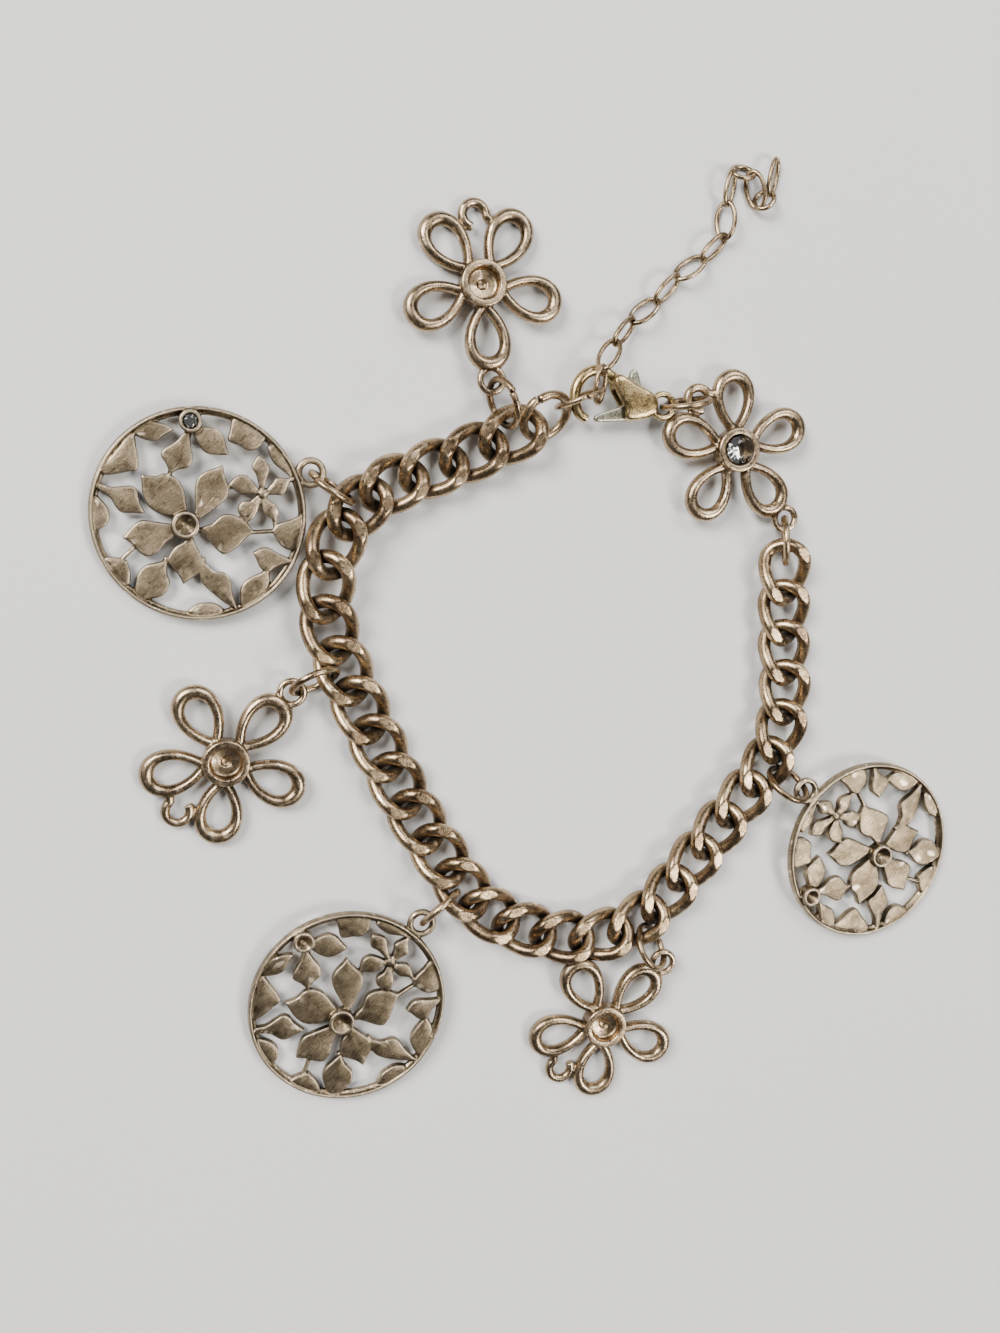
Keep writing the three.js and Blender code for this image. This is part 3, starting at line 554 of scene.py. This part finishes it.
# Each leaf's outline, from its tip round to its tip again: the middle flower, the small one, then the rest
DISC_LEAVES = [
    [(-.50, .39), (-.50, .31), (-.50, .23), (-.475, .13), (-.42, .06), (-.33, .01), (-.22, -.01),
     (-.14, -.04), (-.10, -.02), (-.11, .13), (-.12, .23), (-.16, .32), (-.22, .37), (-.29, .39),
     (-.37, .37), (-.44, .38)],
    [(.25, .45), (.17, .42), (.09, .40), (.02, .35), (-.02, .26), (-.03, .13), (-.04, .01),
     (-.07, -.03), (-.03, -.06), (.04, -.02), (.13, .04), (.22, .10), (.275, .16), (.29, .23),
     (.26, .35)],
    [(-.71, -.18), (-.66, -.13), (-.60, -.07), (-.52, -.03), (-.40, -.05), (-.30, -.07), (-.20, -.10),
     (-.18, -.15), (-.23, -.185), (-.32, -.25), (-.41, -.34), (-.50, -.37), (-.565, -.325),
     (-.635, -.24)],
    [(-.19, -.65), (-.09, -.58), (-.01, -.53), (.01, -.44), (-.03, -.325), (-.06, -.25), (-.08, -.18),
     (-.13, -.17), (-.15, -.24), (-.225, -.28), (-.29, -.35), (-.32, -.425), (-.27, -.50), (-.22, -.57)],
    [(.50, -.185), (.435, -.10), (.36, -.04), (.28, -.01), (.20, -.02), (.115, -.09), (.02, -.12),
     (-.02, -.16), (.03, -.20), (.09, -.275), (.15, -.35), (.21, -.385), (.32, -.33), (.41, -.25)],
    [(.58, .53), (.64, .48), (.68, .405), (.65, .32), (.61, .20), (.58, .20), (.55, .34), (.51, .42),
     (.54, .48)],
    [(.87, .30), (.81, .305), (.73, .31), (.69, .26), (.62, .19), (.62, .16), (.73, .15), (.79, .15),
     (.84, .23)],
    [(.71, -.11), (.66, -.07), (.60, -.02), (.58, .05), (.58, .14), (.61, .15), (.66, .10), (.71, .07),
     (.74, 0)],
    [(.42, -.10), (.50, -.06), (.55, .03), (.58, .14), (.56, .16), (.48, .11), (.41, .105), (.36, .05),
     (.37, -.02)],
    [(.28, .26), (.35, .205), (.40, .17), (.48, .17), (.57, .16), (.57, .19), (.50, .305), (.44, .35),
     (.36, .34)],
    [(-.24, .38), (-.16, .42), (-.06, .44), (-.02, .53), (-.03, .62), (-.04, .76), (-.08, .76),
     (-.16, .685), (-.27, .62), (-.31, .56), (-.27, .48)],
    [(.31, .54), (.20, .54), (.11, .56), (.05, .62), (0, .74), (.03, .80), (.13, .80), (.22, .78),
     (.275, .71), (.29, .63)],
    [(.66, .68), (.58, .59), (.49, .57), (.41, .62), (.31, .67), (.33, .76), (.37, .87), (.47, .83),
     (.58, .75)],
    [(-.17, .79), (-.26, .74), (-.34, .69), (-.43, .70), (-.53, .76), (-.50, .82), (-.40, .87),
     (-.26, .84)],
    [(-.53, .77), (-.52, .635), (-.51, .52), (-.53, .43), (-.61, .42), (-.70, .405), (-.82, .40),
     (-.84, .46), (-.72, .60), (-.60, .73)],
    [(-.485, .03), (-.59, .04), (-.70, .05), (-.75, .11), (-.79, .19), (-.90, .28), (-.89, .33),
     (-.78, .29), (-.69, .29), (-.59, .29), (-.54, .24), (-.53, .15)],
    [(-.80, .02), (-.84, -.06), (-.95, -.10), (-.96, .06), (-.93, .22), (-.83, .12)],
    [(.88, .30), (.78, .39), (.71, .46), (.67, .60), (.76, .60), (.86, .44)],
    [(-.68, -.40), (-.66, -.51), (-.68, -.62), (-.74, -.61), (-.84, -.46), (-.88, -.36), (-.78, -.36)],
    [(-.32, -.41), (-.33, -.53), (-.31, -.63), (-.36, -.72), (-.45, -.76), (-.60, -.76), (-.63, -.68),
     (-.60, -.53), (-.52, -.45), (-.43, -.43)],
    [(.30, -.92), (.19, -.85), (.10, -.77), (.01, -.68), (-.03, -.605), (-.03, -.47), (.03, -.46),
     (.10, -.53), (.20, -.56), (.25, -.63), (.26, -.76)],
    [(-.17, -.90), (-.08, -.84), (0, -.83), (.08, -.84), (.16, -.90), (.10, -.96), (-.10, -.96)],
    [(.61, -.55), (.61, -.67), (.56, -.76), (.46, -.84), (.34, -.89), (.33, -.74), (.38, -.65),
     (.47, -.60)],
    [(.47, -.38), (.50, -.45), (.53, -.53), (.60, -.58), (.685, -.53), (.83, -.48), (.72, -.41),
     (.63, -.35), (.56, -.34)],
    [(.66, -.18), (.72, -.12), (.84, -.09), (.95, -.06), (.94, -.22), (.88, -.36), (.80, -.37),
     (.73, -.32), (.69, -.25)],
]


def leaf(outline):
    """A flat leaf with softly rounded edges and one sharp tip."""
    run = smooth_path(np.array(outline + outline[:1]) * DISC_RADIUS, 4 * len(outline))[:-1]
    return pillow(run, LEAF_BASE, LEAF_BASE + LEAF_HEIGHT, 0.16, 0.06)


def small_cup(radius):
    return turned([(0, 0.1), (radius - 0.1, 0.1), (radius, 0.25), (radius, DISC_CUP_HEIGHT - 0.1),
                   (radius - 0.1, DISC_CUP_HEIGHT), (radius - DISC_CUP_WALL + 0.05, DISC_CUP_HEIGHT),
                   (radius - DISC_CUP_WALL - 0.05, DISC_CUP_HEIGHT - 0.12), (0.3, DISC_CUP_FLOOR + 0.05),
                   (0, DISC_CUP_FLOOR)], 32)


def disc():
    middle = DISC_HEIGHT / 2
    rim = wire(circle(DISC_RADIUS - DISC_RIM / 2, 160, z=middle), (DISC_RIM / 2, middle), 14)
    ledge = wire(circle(DISC_RADIUS - DISC_RIM - 0.1, 160, z=0.5), (0.22, 0.36), 8)
    shapes = [rim, ledge]
    shapes += [leaf(outline) for outline in DISC_LEAVES]
    for start, stop in DISC_STEMS:
        start, stop = np.array(start) * DISC_RADIUS, np.array(stop) * DISC_RADIUS
        run = [(*(start + (stop - start) * s), LEAF_BASE + LEAF_HEIGHT / 2) for s in np.linspace(0, 1, 6)]
        shapes.append(wire(run, (STEM_WIDTH / 2, LEAF_HEIGHT / 2 - 0.05), 10, closed=False))
    shapes.append(placed(small_cup(DISC_CUP_RADIUS), *(DISC_RADIUS * c for c in DISC_CUP)))
    shapes.append(placed(small_cup(RIM_CUP_RADIUS), *(DISC_RADIUS * c for c in DISC_RIM_CUP)))
    boss = turned([(0, 0.2), (0.62, 0.2), (0.62, 0.95), (0.4, 1.2), (0, 1.28)], 20)
    shapes.append(placed(boss, *(DISC_RADIUS * c for c in DISC_BUD)))
    bearing = radians(DISC_LOOP_BEARING)
    shapes.append(cast_loop(DISC_LOOP_REACH * cos(bearing), DISC_LOOP_REACH * sin(bearing), middle))
    return melted(shapes, DISC_VOXEL, 1)


disc_mesh = disc()
for name in ("disc_left", "disc_low", "disc_right"):
    where = charm_frame(name, DISC_LOOP_BEARING, DISC_REACH)
    piece(name.replace("disc", "leaf_charm"), disc_mesh, where, LEAF, "disc", BODY, name)


# Cut stones

GIRDLE_BAND = 0.08
KITE_SPREAD, KITE_RISE = 0.80, 0.62  # where the crown's facets meet, in shares of girdle and crown
TABLE_SPREAD = 0.56
STATION_CROWN, RIM_CROWN = 0.5, 0.35


def stone(girdle, depth, crown):
    """A round cut stone: table, star and kite facets above the girdle, and a pointed pavilion."""
    def ring(radius, z, count, shift=0.0):
        return [(radius * cos(2 * pi * (i + shift) / count), radius * sin(2 * pi * (i + shift) / count), z)
                for i in range(count)]
    kite_height = depth + GIRDLE_BAND + (crown - GIRDLE_BAND) * KITE_RISE
    points = [(0, 0, 0)] + ring(girdle, depth, 16) + ring(girdle, depth + GIRDLE_BAND, 16)
    points += ring(girdle * KITE_SPREAD, kite_height, 8, 0.5)
    points += ring(girdle * TABLE_SPREAD, depth + crown, 8)
    low, top, kite, table = 1, 17, 33, 41
    faces = [(0, low + (i + 1) % 16, low + i) for i in range(16)]
    faces += [(low + i, low + (i + 1) % 16, top + (i + 1) % 16, top + i) for i in range(16)]
    for i in range(8):
        a, b, c = top + 2 * i, top + 2 * i + 1, top + (2 * i + 2) % 16
        k, before = kite + i, kite + (i - 1) % 8
        t, after = table + i, table + (i + 1) % 8
        faces += [(a, b, k), (b, c, k), (a, k, t, before), (t, k, after)]
    faces.append(tuple(range(table, table + 8)))
    return mesh_of(points, faces)


def set_stone(name, charm, mouth, depth, floor, crown, at=(0.0, 0.0)):
    girdle = mouth - CLEARANCE / 2
    made = stone(girdle, girdle / mouth * depth, crown)
    offset = Matrix.Translation((at[0] * MM, at[1] * MM, (floor + CLEARANCE) * MM))
    piece("cut_" + name, made, charm @ offset, GLASS, "stone", BODY, name, smooth=False)


set_stone("station_stone", charm_frame("flower_station", 0, FLOWER_REACH), CUP_RADIUS - CUP_RIM - 0.1,
          CUP_HEIGHT - CUP_FLOOR - 0.1, CUP_FLOOR, STATION_CROWN)
set_stone("rim_stone", charm_frame("disc_left", DISC_LOOP_BEARING, DISC_REACH),
          RIM_CUP_RADIUS - DISC_CUP_WALL, DISC_CUP_HEIGHT - DISC_CUP_FLOOR, DISC_CUP_FLOOR, RIM_CROWN,
          [DISC_RADIUS * c for c in DISC_RIM_CUP])


# Lobster clasp, in shares of its reach from the pin to the nose

def reached(points):
    return [(x * CLASP_REACH, y * CLASP_REACH) for x, y in points]


CLASP_BODY = [(-0.25, -0.13), (0.07, -0.29), (0.32, -0.41), (0.45, -0.36), (0.40, -0.16), (0.25, 0.08),
              (0.22, 0.25), (0.0, 0.24), (-0.25, 0.13)]
CLASP_WEB = [(-0.25, -0.12), (-0.17, -0.15), (-0.17, 0.15), (-0.25, 0.12)]
CLASP_ROOT = [(0.25, -0.36), (0.34, -0.40), (0.44, -0.33), (0.40, -0.20), (0.26, -0.22)]
CLASP_HOOK = [(0.36, -0.33), (0.59, -0.45), (0.815, -0.41), (0.97, -0.23), (1.0, 0.0), (0.92, 0.19),
              (0.80, 0.27)]
HOOK_TAPER = 0.18
HOOK_STEPS = 48
CLASP_LEVER = [(0.05, -0.48), (0.15, -0.46), (0.14, -0.16), (0.27, 0.05), (0.58, 0.165), (0.675, 0.215),
               (0.68, 0.285), (0.60, 0.30), (0.20, 0.26), (-0.05, 0.17), (-0.14, 0.0), (-0.05, -0.20)]

clasp_joint = frame["joints"][0]
clasp_frame = (Matrix.Translation(Vector(clasp_joint["pos_m"]))
               @ Matrix.Rotation(radians(CLASP_BEARING), 4, "Z"))


def clasp_body():
    outline = smooth_path(reached(CLASP_BODY), 60, closed=True)
    slot = LEVER_THICKNESS / 2 + CLEARANCE
    top = CLASP_THICKNESS / 2
    upper = pillow(outline, slot, top - 0.05, 0.5, 0.05)
    web = pillow(reached(CLASP_WEB), -top + 0.15, top - 0.15, 0.1, 0.0)
    root = pillow(reached(CLASP_ROOT), -top + 0.2, top - 0.2, 0.2, 0.0)
    path = smooth_path(reached(CLASP_HOOK), HOOK_STEPS)
    thick = HOOK_THICKNESS / 2 * (1 - HOOK_TAPER * np.linspace(0, 1, HOOK_STEPS) ** 3)
    hook = wire(np.column_stack([path, np.zeros(HOOK_STEPS)]), np.column_stack([thick, thick]), 16,
                closed=False)
    eye = wire(circle((CLASP_EYE_OUTER - CLASP_EYE_WIRE) / 2, 40, -CLASP_EYE_SHARE * CLASP_REACH),
               (CLASP_EYE_WIRE / 2, CLASP_EYE_WIRE / 2), 12)
    end = top - 0.02
    pin = turned([(0, -end), (PIN_RADIUS, -end), (PIN_RADIUS, end), (0, end)], 24)
    return melted([upper, mirrored(upper), web, root, hook, eye, pin], CAST_VOXEL, 3)


def clasp_lever():
    outline = smooth_path(reached(CLASP_LEVER), 60, closed=True)
    upper = placed(pillow(outline, 0.0, LEVER_THICKNESS / 2, 0.2, 0.0), z=-0.05)
    return melted([upper, mirrored(upper)], CAST_VOXEL, 2)


piece("lobster_body", clasp_body(), clasp_frame, CLASP, "clasp", BODY, "clasp_body")
piece("lobster_lever", clasp_lever(), clasp_frame, LEVER, "lever", "lever", "clasp_lever")


# Fine extender chain: one wire loop after another along its path, each turned an eighth from flat

EXTENDER_ROUTE = [(12, 26.2, 2.1), (12.9, 30.6, 2.6), (16.1, 34.0, 0.6), (20.6, 37.4, 0), (23.4, 40.0, 0),
                  (29.0, 44.0, 0), (29.6, 50.0, 0), (32.0, 52.4, 0), (33.8, 46.4, 0), (35.8, 52.4, 0)]
EXTENDER_STEPS = 28
EXTENDER_ROLL = 45  # how far each link is turned from flat, in degrees, to either side in turn


def eased_path(points, count):
    """Evenly spaced points on a centripetal curve through the given ones."""
    points = np.asarray(points, float)
    framed = np.vstack([2 * points[0] - points[1], points, 2 * points[-1] - points[-2]])
    fine = []
    for p0, p1, p2, p3 in zip(framed, framed[1:], framed[2:], framed[3:]):
        t1 = np.linalg.norm(p1 - p0) ** 0.5
        t2 = t1 + np.linalg.norm(p2 - p1) ** 0.5
        t3 = t2 + np.linalg.norm(p3 - p2) ** 0.5
        for t in np.linspace(t1, t2, 40, endpoint=False):
            a1 = (t1 - t) / t1 * p0 + t / t1 * p1
            a2 = (t2 - t) / (t2 - t1) * p1 + (t - t1) / (t2 - t1) * p2
            a3 = (t3 - t) / (t3 - t2) * p2 + (t - t2) / (t3 - t2) * p3
            b1 = (t2 - t) / t2 * a1 + t / t2 * a2
            b2 = (t3 - t) / (t3 - t1) * a2 + (t - t1) / (t3 - t1) * a3
            fine.append((t2 - t) / (t2 - t1) * b1 + (t - t1) / (t2 - t1) * b2)
    fine = np.array(fine + [points[-1]])
    run = np.concatenate([[0], np.cumsum(np.linalg.norm(np.diff(fine, axis=0), axis=1))])
    at = np.linspace(0, run[-1], count)
    return np.column_stack([np.interp(at, run, fine[:, k]) for k in range(3)])


def extender():
    stops = eased_path(EXTENDER_ROUTE, EXTENDER_LINKS + 1)
    wide = (EXTENDER_WIDTH - EXTENDER_WIRE) / 2
    height = EXTENDER_WIRE / 2 + wide * sin(radians(EXTENDER_ROLL))
    loops = []
    for i, (a, b) in enumerate(zip(stops, stops[1:])):
        step = b - a
        long = (np.linalg.norm(step) + EXTENDER_WIRE - EXTENDER_BITE) / 2
        x = step / np.linalg.norm(step)
        side = np.cross((0, 0, 1), x)
        side /= np.linalg.norm(side)
        up = np.cross(x, side)
        roll = radians(-EXTENDER_ROLL if i % 2 else EXTENDER_ROLL)
        y = cos(roll) * side + sin(roll) * up
        turn = 2 * pi * np.arange(EXTENDER_STEPS) / EXTENDER_STEPS
        centres = ((a + b) / 2 + (0, 0, height) + np.outer(long * np.cos(turn), x)
                   + np.outer(wide * np.sin(turn), y))
        loops.append(wire(centres, (EXTENDER_ROUND / 2, EXTENDER_ROUND / 2), 12, up=np.cross(x, y)))
    points, faces = together(loops)
    own = node_points("extender_chain") / MM
    return mesh_of(points + (own.min(0) + own.max(0) - points.min(0) - points.max(0)) / 2, faces)


piece("fine_chain", extender(), Matrix(), FINE, "fine", BODY, "extender_chain")


# Floor, light and camera, in metres

FLOOR_HALF = 3.0
ROOM_STRENGTH = 0.14
CAMERA_LENS, CAMERA_SENSOR = 37.07, 36
# The camera's place, and the directions of its right, its top and its view
CAMERA_AT = (-0.04889, 0.02333, 0.14965)
CAMERA_RIGHT = (0.9591, -0.05422, 0.27784)
CAMERA_TOP = (0.09484, 0.98631, -0.1349)
CAMERA_AHEAD = (0.26672, -0.15573, -0.95111)


def pale_floor():
    material = bpy.data.materials.new("PaleFloor")
    material.use_nodes = True
    nodes, links = material.node_tree.nodes, material.node_tree.links
    shader = nodes["Principled BSDF"]
    shader.inputs["Roughness"].default_value = 0.85
    place = nodes.new("ShaderNodeTexCoord")
    cloud = nodes.new("ShaderNodeTexNoise")
    cloud.inputs["Scale"].default_value = 14
    links.new(place.outputs["Object"], cloud.inputs["Vector"])
    tone = nodes.new("ShaderNodeValToRGB")
    tone.color_ramp.elements[0].color = (0.66, 0.655, 0.645, 1)
    tone.color_ramp.elements[1].color = (0.70, 0.695, 0.685, 1)
    links.new(cloud.outputs["Fac"], tone.inputs["Fac"])
    links.new(tone.outputs["Color"], shader.inputs["Base Color"])
    corners = [(x * FLOOR_HALF, y * FLOOR_HALF, 0) for x, y in ((-1, -1), (1, -1), (1, 1), (-1, 1))]
    floor = bpy.data.objects.new("floor", mesh_of(corners, [(0, 1, 2, 3)]))
    floor.data.materials.append(material)
    bpy.context.scene.collection.objects.link(floor)


pale_floor()


def soft_light(name, watts, size, place, colour):
    light = bpy.data.lights.new(name, "AREA")
    light.energy = watts
    light.size = size
    light.color = colour
    lamp = bpy.data.objects.new(name, light)
    lamp.location = place
    lamp.rotation_euler = (-Vector(place)).to_track_quat("-Z", "Y").to_euler()
    bpy.context.scene.collection.objects.link(lamp)


soft_light("window", 30.0, 0.55, (-0.75, 0.65, 0.90), (1.0, 0.98, 0.95))
soft_light("ceiling", 12.5, 0.75, (0.55, 0.75, 1.05), (0.97, 0.98, 1.0))
soft_light("sheen", 13.75, 0.40, (0.675, -0.45, 1.00), (1.0, 0.97, 0.92))

world = bpy.data.worlds.new("room")
bpy.context.scene.world = world
world.use_nodes = True
world.node_tree.nodes["Background"].inputs["Color"].default_value = (0.80, 0.82, 0.85, 1)
world.node_tree.nodes["Background"].inputs["Strength"].default_value = ROOM_STRENGTH

camera_data = bpy.data.cameras.new("camera")
camera_data.lens = CAMERA_LENS
camera_data.sensor_width = CAMERA_SENSOR
camera_data.clip_start = 0.01
camera = bpy.data.objects.new("camera", camera_data)
facing = Matrix(np.column_stack([CAMERA_RIGHT, CAMERA_TOP, -np.array(CAMERA_AHEAD)]).tolist())
camera.matrix_world = Matrix.Translation(CAMERA_AT) @ facing.to_4x4()
bpy.context.scene.collection.objects.link(camera)
bpy.context.scene.camera = camera
